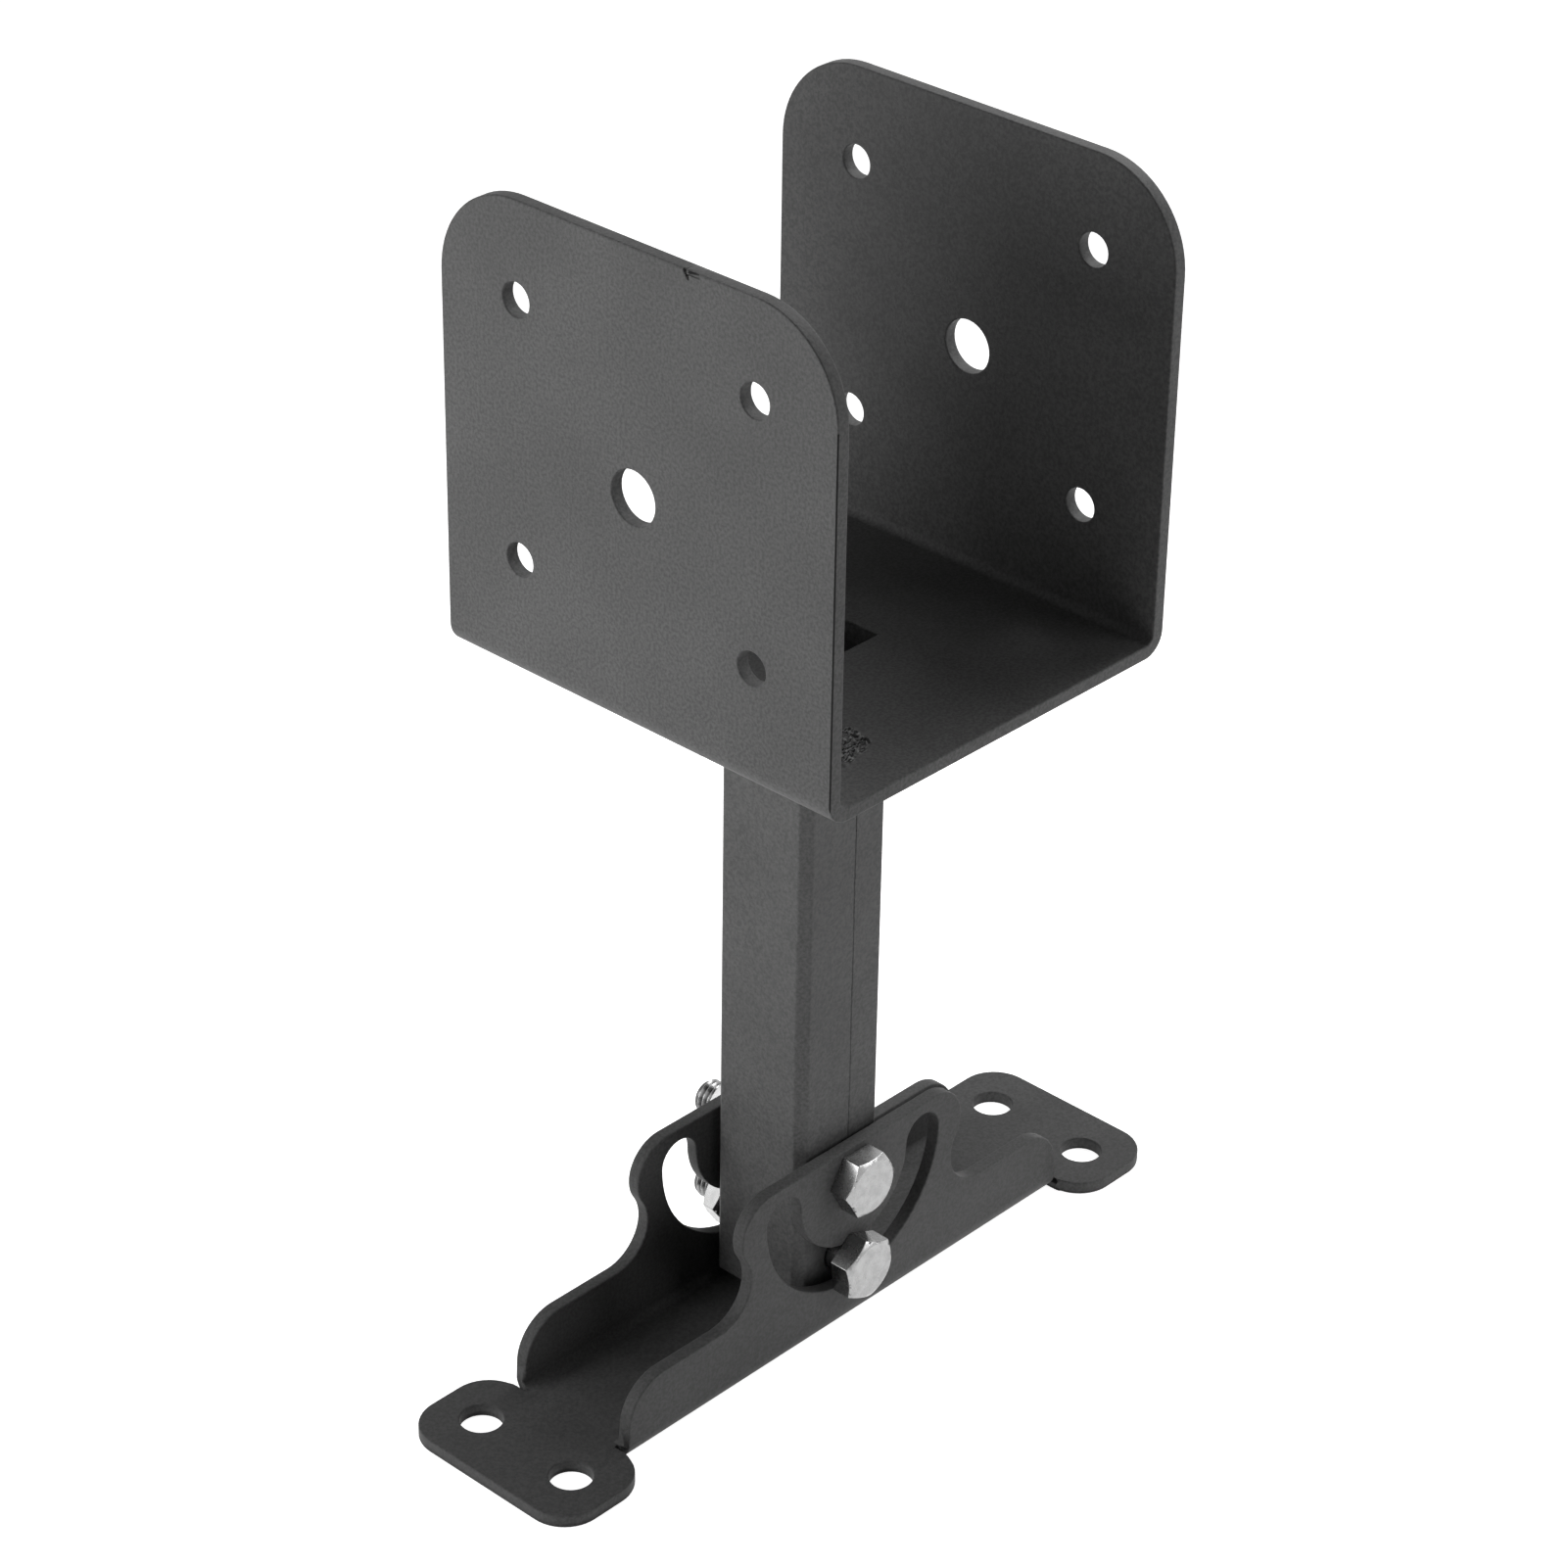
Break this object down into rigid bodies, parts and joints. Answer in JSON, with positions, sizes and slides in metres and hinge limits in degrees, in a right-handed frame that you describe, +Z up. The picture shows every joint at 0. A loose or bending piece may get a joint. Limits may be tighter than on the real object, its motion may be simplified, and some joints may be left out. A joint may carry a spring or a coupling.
{
  "type": "roof riser bracket",
  "caption": "Folded steel saddle on a square post that pivots and locks in a slotted base channel with drilled ears, for carrying a beam above a roof.",
  "frame": {"origin": "middle of the base channel's underside, straight below the pivot bolt", "axes": "+Z up, X along the base channel, Y along the bolts and the carried beam, bolt heads on the -Y side"},
  "size_m": [0.1832, 0.101, 0.2558],
  "materials": {
    "saddle_coat": "matt textured powder coat",
    "weld_coat": "matt textured powder coat over a weld bead",
    "post_coat": "matt textured powder coat",
    "base_coat": "matt textured powder coat",
    "bolt_zinc": "bright zinc plate",
    "nut_zinc": "bright zinc plate"
  },
  "bodies": {
    "base": {"base_channel": "base_coat", "pivot_bolt": "bolt_zinc", "pivot_nut": "nut_zinc"},
    "post": {"post_tube": "post_coat", "saddle": "saddle_coat", "saddle_weld": "weld_coat", "clamp_bolt": "bolt_zinc", "clamp_nut": "nut_zinc"}
  },
  "joints": [
    {"name": "post_pivot", "type": "hinge", "parent": "base", "child": "post", "pos_m": [0, 0, 0.0375], "axis": [0, 1, 0], "range_deg": [-85, 85]}
  ]
}
